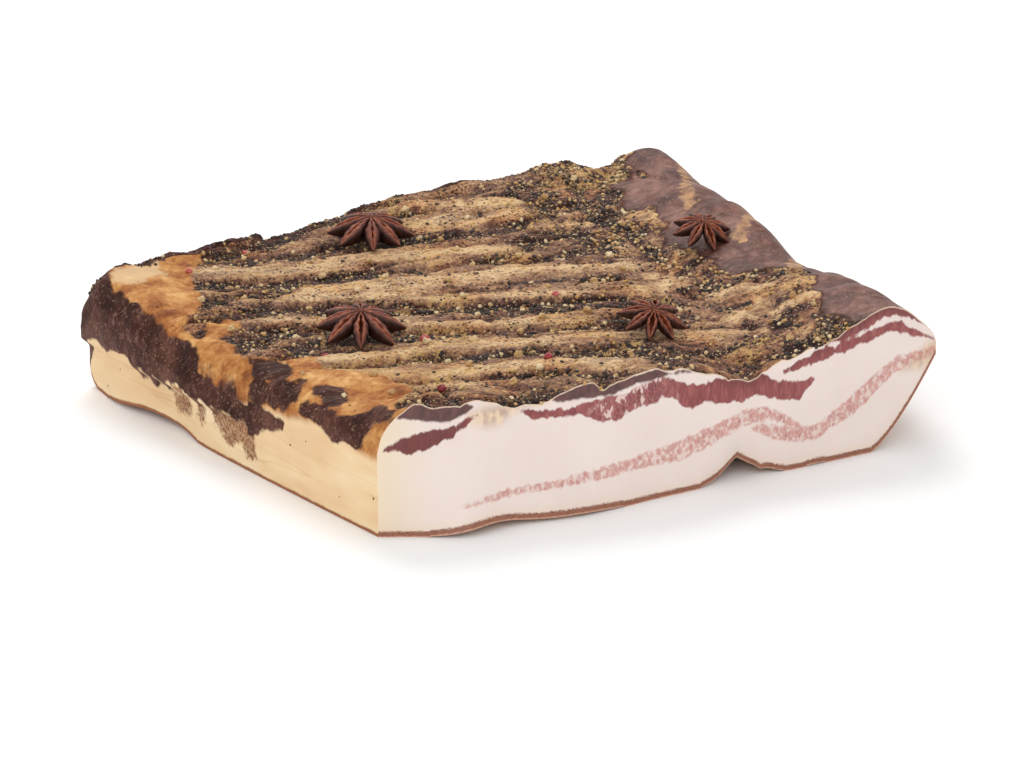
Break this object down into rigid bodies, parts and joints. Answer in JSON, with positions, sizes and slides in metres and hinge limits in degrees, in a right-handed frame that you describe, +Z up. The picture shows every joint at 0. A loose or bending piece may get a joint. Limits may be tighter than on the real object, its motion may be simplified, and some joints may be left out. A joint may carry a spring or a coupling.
{
  "type": "pancetta slab",
  "caption": "Thick slab of flat-cured pork belly with rind below, ribbed spiced top, a fresh cut at the front, a curled belly edge and star anise lying on top.",
  "frame": {"origin": "on the ground under the middle of the slab", "axes": "+Z up from the rind to the spiced top, +X along the fresh cut towards the thin belly edge, +Y from the fresh cut towards the back edge"},
  "size_m": [0.345, 0.3244, 0.0664],
  "materials": {
    "cured_pork": "satin, slightly greasy cured fat and dark dried lean",
    "anise": "dry woody husk with waxy lips"
  },
  "bodies": {
    "root": {"slab": "cured_pork", "star_anise_1": "anise", "star_anise_2": "anise", "star_anise_3": "anise", "star_anise_4": "anise"}
  },
  "joints": []
}
